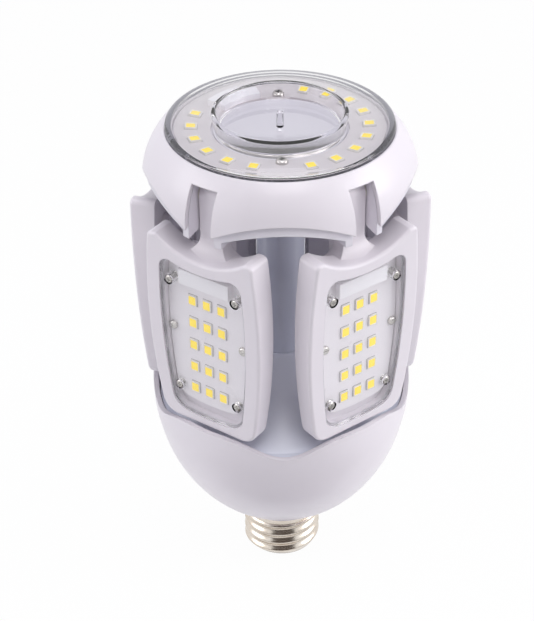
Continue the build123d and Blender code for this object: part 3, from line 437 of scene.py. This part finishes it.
def metal_wear_group():
    """Plated metal: fine lines round the axis, cloudy tarnish and small changes of gloss."""
    group, given, out, where = new_group(
        "metal_wear",
        [
            ("Colour", (0.7, 0.7, 0.7, 1)),
            ("Tarnish", (0.5, 0.45, 0.4, 1)),
            ("Gloss", 0.25),
            ("Lines", 2500.0),
        ],
    )
    stretch = group.nodes.new("ShaderNodeMapping")
    stretch.inputs["Scale"].default_value = (0.06, 0.06, 1.0)
    group.links.new(where, stretch.inputs["Vector"])
    lines = noise(group, stretch.outputs[0], given["Lines"], detail=3.0, roughness=0.6)
    cloud = noise(group, where, scale=160.0, detail=4.0, roughness=0.65)
    tone = spread(group, cloud, 0.0, 0.6)
    gloss = maths(group, "ADD", given["Gloss"], spread(group, lines, -0.05, 0.09))
    group.links.new(colour_mix(group, tone, given["Colour"], given["Tarnish"]), out["Colour"])
    group.links.new(gloss, out["Roughness"])
    group.links.new(lines, out["Height"])
    return group


# Finishes

MOULDED_SKIN = moulded_skin_group()
METAL_WEAR = metal_wear_group()
FINISHES = {}


def surfaced(name, group, values, bump, edge=0.0, metallic=0.0, coat=0.0, painted_glow=None):
    """Principled material whose colour, roughness and relief come from a shared group; a painted
    glow, when given, adds a faint emission to a part that is no lit lamp.
    """
    material, tree = new_material(name)
    shader = tree.nodes["Principled BSDF"]
    shader.inputs["Metallic"].default_value = metallic
    shader.inputs["Coat Weight"].default_value = coat
    shader.inputs["Coat Roughness"].default_value = COAT_ROUGHNESS
    # Painted glow: emission on a surface that gives no light of its own
    if painted_glow:
        shader.inputs["Emission Color"].default_value = (*srgb(*painted_glow), 1)
        shader.inputs["Emission Strength"].default_value = PAINTED_GLOW_STRENGTH
    skin = tree.nodes.new("ShaderNodeGroup")
    skin.node_tree = group
    for label, value in values.items():
        skin.inputs[label].default_value = (*value, 1) if isinstance(value, tuple) else value
    relief = tree.nodes.new("ShaderNodeBump")
    relief.inputs["Strength"].default_value = 1.0
    relief.inputs["Distance"].default_value = bump
    tree.links.new(skin.outputs["Height"], relief.inputs["Height"])
    if edge:
        rounding = tree.nodes.new("ShaderNodeBevel")
        rounding.samples = EDGE_SAMPLES
        rounding.inputs["Radius"].default_value = edge
        tree.links.new(rounding.outputs[0], relief.inputs["Normal"])
    tree.links.new(skin.outputs["Colour"], shader.inputs["Base Color"])
    tree.links.new(skin.outputs["Roughness"], shader.inputs["Roughness"])
    tree.links.new(relief.outputs[0], shader.inputs["Normal"])
    FINISHES[name] = material


def moulded(name, colour, shade, gloss, grain=700.0, bump=4e-6, edge=0.0003, coat=0.0, painted_glow=None):
    values = {"Colour": srgb(*colour), "Shade": srgb(*shade), "Gloss": gloss, "Grain": grain}
    surfaced(name, MOULDED_SKIN, values, bump, edge, coat=coat, painted_glow=painted_glow)


def plated(name, colour, tarnish, gloss, lines=2500.0, bump=3e-6):
    values = {"Colour": srgb(*colour), "Tarnish": srgb(*tarnish), "Gloss": gloss, "Lines": lines}
    surfaced(name, METAL_WEAR, values, bump, metallic=1.0)


def clear_plastic(name, tint):
    """Clear moulded cover that lets the softboxes' light through to the boards."""
    material, tree = new_material(name)
    shader = tree.nodes["Principled BSDF"]
    shader.inputs["Base Color"].default_value = (*tint, 1)
    shader.inputs["Roughness"].default_value = CLEAR_ROUGHNESS
    shader.inputs["IOR"].default_value = CLEAR_IOR
    shader.inputs["Transmission Weight"].default_value = 1.0
    where = tree.nodes.new("ShaderNodeTexCoord").outputs["Object"]
    relief = tree.nodes.new("ShaderNodeBump")
    relief.inputs["Distance"].default_value = CLEAR_FLOW_DEPTH
    relief.inputs["Strength"].default_value = CLEAR_FLOW_STRENGTH
    tree.links.new(noise(tree, where, scale=90.0), relief.inputs["Height"])
    tree.links.new(relief.outputs[0], shader.inputs["Normal"])
    passing = tree.nodes.new("ShaderNodeBsdfTransparent")
    passing.inputs["Color"].default_value = CLEAR_SOFT_LIGHT
    path = tree.nodes.new("ShaderNodeLightPath").outputs
    soft = maths(tree, "MAXIMUM", path["Is Shadow Ray"], path["Is Diffuse Ray"])
    shader_mix(tree, soft, shader.outputs[0], passing.outputs[0], "Material Output")
    FINISHES[name] = material


def make_finishes():
    """Every finish: colour, second tone, gloss, and then grain or lines, bump and edge."""
    moulded("housing_white", (231, 225, 231), (226, 220, 226), 0.36, edge=0.0005, coat=0.12)
    # Deck and column: their own glossy white, tinted blue as painted cool shade of the gap between
    # the wings
    moulded("deck_white", (238, 240, 252), (231, 234, 248), 0.20, coat=0.4)
    moulded("column_white", (228, 231, 246), (220, 224, 241), 0.18, coat=0.4)
    moulded("crown_frame_white", (228, 224, 231), (221, 217, 225), 0.36)
    moulded("wing_white", (229, 223, 229), (223, 217, 223), 0.38, 420.0, 6e-6, 0.0004)
    moulded("board_white", (245, 240, 243), (240, 235, 238), 0.30, 1500.0, 3e-6, 0.0001)
    # Painted shade: the ring board is greyer than the wing boards, to stand for the dimmer light
    # under the top lens
    moulded("ring_board_painted_shade", (224, 217, 218), (217, 210, 212), 0.32, 1500.0, 3e-6, 0.0001)
    moulded("led_case", (240, 237, 230), (230, 226, 218), 0.40, 1500.0, 2e-6, 0.0)
    # The light filling gets a faint painted glow, though the lamp is off
    painted_glow = (255, 216, 28)
    moulded("led_phosphor", (255, 228, 56), (252, 219, 44), 0.36, 900.0, 1e-6, 0.0, painted_glow=painted_glow)
    moulded("pad_grey", (178, 174, 178), (166, 162, 166), 0.45, 1500.0, 2e-6, 0.0)
    moulded("terminal_white", (254, 251, 253), (250, 247, 250), 0.40, 900.0, 3e-6, 0.0002)
    # Painted shade: dark grey for the ring gasket, standing for the shadowed gap round the top lens
    moulded("seal_painted_shade", (150, 148, 156), (136, 134, 143), 0.50, 900.0, 6e-6)
    clear_plastic("clear_lens", (0.985, 0.985, 0.99))
    clear_plastic("top_clear", (0.885, 0.88, 0.895))
    moulded("seal_rubber", (212, 208, 214), (204, 200, 207), 0.55, 900.0, 6e-6)
    plated("screw_steel", (204, 201, 199), (166, 161, 157), 0.26)
    plated("pin_steel", (186, 186, 190), (150, 150, 154), 0.25)
    moulded("washer_plastic", (222, 218, 208), (210, 205, 194), 0.45)
    plated("nickel_shell", (228, 221, 212), (196, 180, 164), 0.21, 3200.0)
    plated("contact_metal", (204, 198, 186), (160, 150, 136), 0.30, 900.0, 2e-5)
    moulded("insulator_ivory", (226, 219, 201), (214, 205, 186), 0.22)
    moulded("driver_laminate", (206, 176, 116), (188, 156, 96), 0.5, 1800.0)
    moulded("transformer_core", (222, 190, 70), (204, 168, 52), 0.4)
    moulded("capacitor_sleeve", (40, 42, 52), (32, 34, 42), 0.3)
    moulded("film_capacitor_case", (150, 48, 38), (130, 38, 30), 0.3)
    moulded("choke_core", (66, 96, 72), (52, 78, 58), 0.5)
    moulded("lead_insulation", (226, 226, 228), (214, 214, 218), 0.4)


# Solids whose finish differs from the others in their slot
NODE_FINISHES = {
    "wire_cover": "terminal_white",
    # Painted shade: the ring gasket is darkened to stand for the shadowed gap round the top lens
    "ring_gasket": "seal_painted_shade",
    # Painted shade: the ring board takes a greyer finish for the dim light under the top lens
    "ring_board": "ring_board_painted_shade",
}


def dress_solids():
    """Gives every solid of the frame its finish, by the record's slot."""
    for row in frame["record"]["subparts"]:
        node = frame["nodes"][row["node"]]
        finish = NODE_FINISHES.get(row["node"], row["material_slot"])
        node.data.materials.clear()
        node.data.materials.append(FINISHES[finish])


# Shapes


def chain(bm, points, closed=False):
    """Line through (radius, height) points in millimetres, in the plane Y = 0."""
    verts = [bm.verts.new((radius * MM, 0, height * MM)) for radius, height in points]
    edges = [bm.edges.new(pair) for pair in zip(verts, verts[1:])]
    if closed:
        edges.append(bm.edges.new((verts[-1], verts[0])))
    return verts + edges


def spun(points, steps, closed):
    """Line of (radius, height) points in millimetres, turned once round the axis."""
    bm = bmesh.new()
    bmesh.ops.spin(
        bm,
        geom=chain(bm, points, closed),
        cent=(0, 0, 0),
        axis=(0, 0, 1),
        angle=math.tau,
        steps=steps,
        use_merge=True,
    )
    bmesh.ops.remove_doubles(bm, verts=bm.verts, dist=MERGED)
    return bm


def ring_edges(bm, radius, height):
    """Edges of a turned shape that lie on one circle."""

    def on_circle(vert):
        off_radius = abs(vert.co.xy.length - radius * MM)
        return off_radius < SAME_PLACE and abs(vert.co.z - height * MM) < SAME_PLACE

    return [edge for edge in bm.edges if all(on_circle(vert) for vert in edge.verts)]


def rounded(bm, edges, width, segments=3):
    bmesh.ops.bevel(
        bm,
        geom=edges,
        offset=width * MM,
        offset_type="OFFSET",
        affect="EDGES",
        segments=segments,
        profile=0.5,
        material=-1,
        clamp_overlap=True,
    )


def repeated(unit, places, bm=None):
    """Copies of a unit shape at the given places, added to a bmesh or in a new one."""
    mesh = bpy.data.meshes.new("unit")
    unit.to_mesh(mesh)
    unit.free()
    if bm is None:
        bm = bmesh.new()
    for place in places:
        count = len(bm.verts)
        bm.from_mesh(mesh)
        bm.verts.ensure_lookup_table()
        bmesh.ops.transform(bm, matrix=place, verts=bm.verts[count:])
    bpy.data.meshes.remove(mesh)
    return bm


def piece(name, bm, finish, body, nodes=(), sharp=SHARP_ANGLE):
    """Finished piece that rides on a body, takes a finish and may stand for solids, which it hides.
    """
    mesh = bpy.data.meshes.new(name)
    bm.to_mesh(mesh)
    bm.free()
    mesh.shade_smooth()
    mesh.set_sharp_from_angle(angle=math.radians(sharp))
    mesh.materials.append(FINISHES[finish])
    obj = bpy.data.objects.new(name, mesh)
    bpy.context.collection.objects.link(obj)
    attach(obj, body)
    if nodes:
        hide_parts(*nodes)


def on_wing(out, across, up, turn):
    """Place on a wing: the unit's X runs across, its Y up and its Z out of the wing's face."""
    axes = Matrix(((0, 0, 1, out), (1, 0, 0, across), (0, 1, 0, up), (0, 0, 0, 1)))
    return Matrix.Rotation(turn, 4, "Z") @ axes


def on_ring(radius, turn, height):
    """Place on the ring board: the unit's X runs round, its Y outwards and its Z up."""
    axes = Matrix(((0, 1, 0, radius), (-1, 0, 0, 0), (0, 0, 1, height), (0, 0, 0, 1)))
    return Matrix.Rotation(math.radians(turn), 4, "Z") @ axes


def cornered_block(width, length, low, high, corner, segments):
    """Block between two heights, with rounded upright corners."""
    bm = bmesh.new()
    size = Matrix.Diagonal((width * MM, length * MM, (high - low) * MM, 1))
    middle = Matrix.Translation((0, 0, (low + high) * MM / 2))
    bmesh.ops.create_cube(bm, size=1, matrix=middle @ size)
    upright = [e for e in bm.edges if abs(e.verts[0].co.z - e.verts[1].co.z) > SAME_PLACE]
    rounded(bm, upright, corner, segments)
    return bm


def top_faces(bm):
    return [face for face in bm.faces if face.normal.z > 0.9]


def led_case(width, length, height, wall):
    """Light package: pale block with a shallow cup on top, its foot on the plane Z = 0."""
    bm = cornered_block(width, length, 0, height, CASE_CORNER, 2)
    top = top_faces(bm)
    bmesh.ops.inset_individual(bm, faces=top, thickness=wall * MM, depth=0)
    bmesh.ops.inset_individual(bm, faces=top, thickness=CUP_DRAFT * MM, depth=-CUP_DEPTH * MM)
    return bm


def led_filling(width, length, low, high):
    """Yellow filling of a light package's cup, slightly crowned."""
    bm = cornered_block(width, length, low, high, FILLING_CORNER, 3)
    bmesh.ops.inset_individual(
        bm,
        faces=top_faces(bm),
        thickness=FILLING_CROWN_INSET * MM,
        depth=FILLING_CROWN_RISE * MM,
    )
    return bm


def rounded_block(width, length, height, corner, edge):
    """Block on the plane Z = 0 with rounded corners and a soft top edge."""
    bm = cornered_block(width, length, 0, height, corner, 3)
    top = [e for e in bm.edges if all(v.co.z > height * MM * 0.99 for v in e.verts)]
    outline = [e for e in top if sum(abs(f.normal.z) < 0.5 for f in e.link_faces) == 1]
    rounded(bm, outline, edge, 2)
    bmesh.ops.recalc_face_normals(bm, faces=bm.faces)
    return bm


def cross_screw(head_radius, head_height, shank_radius, length):
    """Pan head screw with a cross recess, its head on the plane Z = 0 and its shank below."""
    profile = [(head_radius * out, head_height * up) for out, up in SCREW_HEAD_PROFILE]
    mouth = profile[-1][0]
    bm = spun([(shank_radius, -length), (shank_radius, 0), *profile], SCREW_STEPS, False)
    bmesh.ops.edgeloop_fill(bm, edges=ring_edges(bm, shank_radius, -length))
    rim = ring_edges(bm, mouth, head_height)
    arm = head_radius * CROSS_ARM * MM
    half = head_radius * CROSS_HALF_WIDTH * MM
    corners = []
    for quarter in range(4):
        turn = Matrix.Rotation(quarter * math.pi / 2, 3, "Z")
        for x, y in ((arm, -half), (arm, half), (half, half)):
            corners.append(bm.verts.new(turn @ Vector((x, y, head_height * MM))))
    cross = [bm.edges.new((a, b)) for a, b in zip(corners, corners[1:] + corners[:1])]
    bmesh.ops.bridge_loops(bm, edges=rim + cross)
    sunk, outline = extruded(bm, cross)
    bmesh.ops.translate(bm, vec=(0, 0, -head_height * CROSS_DEPTH * MM), verts=sunk)
    bmesh.ops.scale(bm, vec=(CROSS_TAPER, CROSS_TAPER, 1), verts=sunk)
    bmesh.ops.edgeloop_fill(bm, edges=outline)
    bmesh.ops.recalc_face_normals(bm, faces=bm.faces)
    return bm


def extruded(bm, loop):
    """New verts of a loop that is drawn out, and the edges between them."""
    made = bmesh.ops.extrude_edge_only(bm, edges=loop)["geom"]
    verts = [g for g in made if isinstance(g, bmesh.types.BMVert)]
    ends = set(verts)
    edges = [g for g in made if isinstance(g, bmesh.types.BMEdge) and set(g.verts) <= ends]
    return verts, edges


def open_end(bm, height):
    """Boundary edges at a height in millimetres."""

    def at_height(edge):
        return all(abs(vert.co.z - height * MM) < SAME_PLACE for vert in edge.verts)

    return [edge for edge in bm.edges if edge.is_boundary and at_height(edge)]


def drawn(bm, loop, circles):
    """Carries an open end on from circle to circle, each a (radius, height) in millimetres."""
    for radius, height in circles:
        verts, loop = extruded(bm, loop)
        for vert in verts:
            flat = vert.co.xy.normalized() * radius * MM
            vert.co = (flat.x, flat.y, height * MM)
    return loop


# Pieces


def thread_sweep():
    """Right-handed rounded thread, swept round the axis and cut level at both ends."""
    middle = (THREAD_CREST + THREAD_ROOT) / 2
    swing = (THREAD_CREST - THREAD_ROOT) / 2
    start = THREAD_LOW - THREAD_PITCH * THREAD_LEAD_IN_TURNS
    points = []
    for index in range(THREAD_TURNS * THREAD_POINTS + 1):
        wave = math.cos(math.tau * index / THREAD_POINTS)
        points.append((middle + swing * wave, start + THREAD_PITCH * index / THREAD_POINTS))
    bm = bmesh.new()
    bmesh.ops.spin(
        bm,
        geom=chain(bm, points),
        cent=(0, 0, 0),
        axis=(0, 0, 1),
        dvec=(0, 0, THREAD_PITCH * MM / THREAD_STEPS),
        angle=math.tau,
        steps=THREAD_STEPS,
        use_merge=False,
    )
    bmesh.ops.remove_doubles(bm, verts=bm.verts, dist=THREAD_SEAM)
    for height, side in ((THREAD_LOW, -1), (THREAD_HIGH, 1)):
        bmesh.ops.bisect_plane(
            bm,
            geom=bm.verts[:] + bm.edges[:] + bm.faces[:],
            dist=MERGED,
            plane_co=(0, 0, height * MM),
            plane_no=(0, 0, side),
            clear_outer=True,
        )
    return bm


def threaded_shell():
    """Rolled nickel shell: thread, turned-in end, smooth collar in the neck."""
    low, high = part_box("screw_shell")
    end = low[2] / MM
    top = high[2] / MM
    bm = thread_sweep()
    foot_circles = [(THREAD_ROOT, THREAD_LOW - THREAD_RUN_OUT)]
    foot_circles += [(radius, end + rise) for radius, rise in SHELL_FOOT]
    foot = drawn(bm, open_end(bm, THREAD_LOW), foot_circles)
    neck_circles = [
        (COLLAR_RADIUS - COLLAR_EASE, THREAD_HIGH + COLLAR_RISE / 2),
        (COLLAR_RADIUS, THREAD_HIGH + COLLAR_RISE),
        (COLLAR_RADIUS, top),
        (COLLAR_RADIUS - COLLAR_WALL, top),
    ]
    neck_circles += [(radius, end + rise) for radius, rise in SHELL_INSIDE]
    neck = drawn(bm, open_end(bm, THREAD_HIGH), neck_circles)
    bmesh.ops.bridge_loops(bm, edges=foot + neck)
    bmesh.ops.remove_doubles(bm, verts=bm.verts, dist=MERGED)
    bmesh.ops.recalc_face_normals(bm, faces=bm.faces)
    nodes = ["screw_shell"]
    piece("threaded_shell", bm, "nickel_shell", "lamp", nodes, SHELL_SHARP_ANGLE)


def ring_lens():
    """Clear top lens: sloped roof over the ring of light, a well in the middle and a short post."""
    floor_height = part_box("ring_lens")[0][2] / MM + LENS_FLOOR_THICKNESS
    places = {name: (radius, floor_height + up) for name, (radius, up) in LENS_PROFILE.items()}
    bm = spun(places.values(), LENS_STEPS, True)
    bmesh.ops.dissolve_degenerate(bm, edges=bm.edges, dist=NO_LENGTH)
    bmesh.ops.recalc_face_normals(bm, faces=bm.faces)
    for name, width in LENS_ROUNDINGS.items():
        rounded(bm, ring_edges(bm, *places[name]), width)
    bmesh.ops.recalc_face_normals(bm, faces=bm.faces)
    piece("top_lens", bm, "top_clear", "lamp", ["ring_lens"], LENS_SHARP_ANGLE)


def light_packages(label, places, height, sizes, body, nodes):
    """Light packages with their yellow filling and solder pads; label takes each piece's name."""
    case = led_case(*sizes["case"], height, sizes["wall"])
    piece(label.format("cases"), repeated(case, places), "led_case", body, nodes)
    filling = led_filling(*sizes["filling"], height - FILLING_FOOT_DROP, height - sizes["drop"])
    filled = repeated(filling, places)
    piece(label.format("phosphor"), filled, "led_phosphor", body)
    pads = rounded_block(*sizes["pads"], PADS_HEIGHT, PADS_CORNER, PADS_EDGE)
    piece(label.format("pads"), repeated(pads, places), "pad_grey", body)


def ring_of_light():
    """Light packages and screws on the ring board."""
    low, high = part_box("ring_leds")
    board = low[2]
    height = (high[2] - board) / MM
    places = [on_ring(RING_LED_CIRCLE * MM, turn, board) for turn in RING_LED_TURNS]
    light_packages("ring_led_{}", places, height, RING_LED, "lamp", ["ring_leds"])
    screw_low, screw_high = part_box("ring_screws")
    screw = cross_screw(
        RING_SCREW_HEAD_RADIUS,
        (screw_high[2] - board) / MM,
        RING_SCREW_SHANK_RADIUS,
        (board - screw_low[2]) / MM,
    )
    seats = [on_ring(RING_SCREW_CIRCLE * MM, turn, board) for turn in RING_SCREW_TURNS]
    screws = repeated(screw, seats)
    piece("ring_board_screws", screws, "screw_steel", "lamp", ["ring_screws"])


def wing_screws(board, foot, turn):
    """Corner screws seated in the lens's bosses, and middle screws seated on the board."""
    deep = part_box("wing_screws_1")[0][1]
    bm = bmesh.new()
    for screws in (LOW_SCREWS, HIGH_SCREWS, MIDDLE_SCREWS):
        seat = board
        if screws is not MIDDLE_SCREWS:
            face = WING_FOOT_RADIUS + math.tan(FACE_LEAN) * screws[0][1]
            seat = (face - SCREW_SEAT_DEPTH) * MM
        unit = cross_screw(
            WING_SCREW_HEAD_RADIUS,
            WING_SCREW_HEAD_HEIGHT,
            WING_SCREW_SHANK_RADIUS,
            (seat - deep) / MM,
        )
        places = [on_wing(seat, across * MM, foot + up * MM, turn) for across, up in screws]
        repeated(unit, places, bm)
    return bm


def wing_light(number, turn):
    """Light packages, wire terminal and screws of one wing."""
    body = f"wing_{number}"
    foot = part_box("wing_frame_1")[0][2]
    leds_low, leds_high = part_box("wing_leds_1")
    board = leds_low[1]
    height = (leds_high[1] - board) / MM
    places = [
        on_wing(board, across * MM, foot + up * MM, turn)
        for across in WING_LED_COLUMNS
        for up in WING_LED_ROWS
    ]
    label = f"wing_led_{{}}_{number}"
    light_packages(label, places, height, WING_LED, body, [f"wing_leds_{number}"])
    size = [solid + skin for solid, skin in zip(TERMINAL_SIZE, TERMINAL_SKIN)]
    block = rounded_block(*size, TERMINAL_CORNER, TERMINAL_EDGE)
    terminal = repeated(block, [on_wing(board, 0, foot + TERMINAL_HEIGHT * MM, turn)])
    piece(f"wing_terminal_{number}", terminal, "terminal_white", body)
    screws = wing_screws(board, foot, turn)
    nodes = [f"wing_screws_{number}"]
    piece(f"wing_cross_screws_{number}", screws, "screw_steel", body, nodes)


camera_at_photo()
studio()
dim_cards()
floor()
bpy.context.scene.view_settings.view_transform = "Standard"
make_finishes()
dress_solids()
threaded_shell()
ring_lens()
ring_of_light()
for wing_number, wing_turn in enumerate(WING_TURNS, start=1):
    wing_light(wing_number, wing_turn)
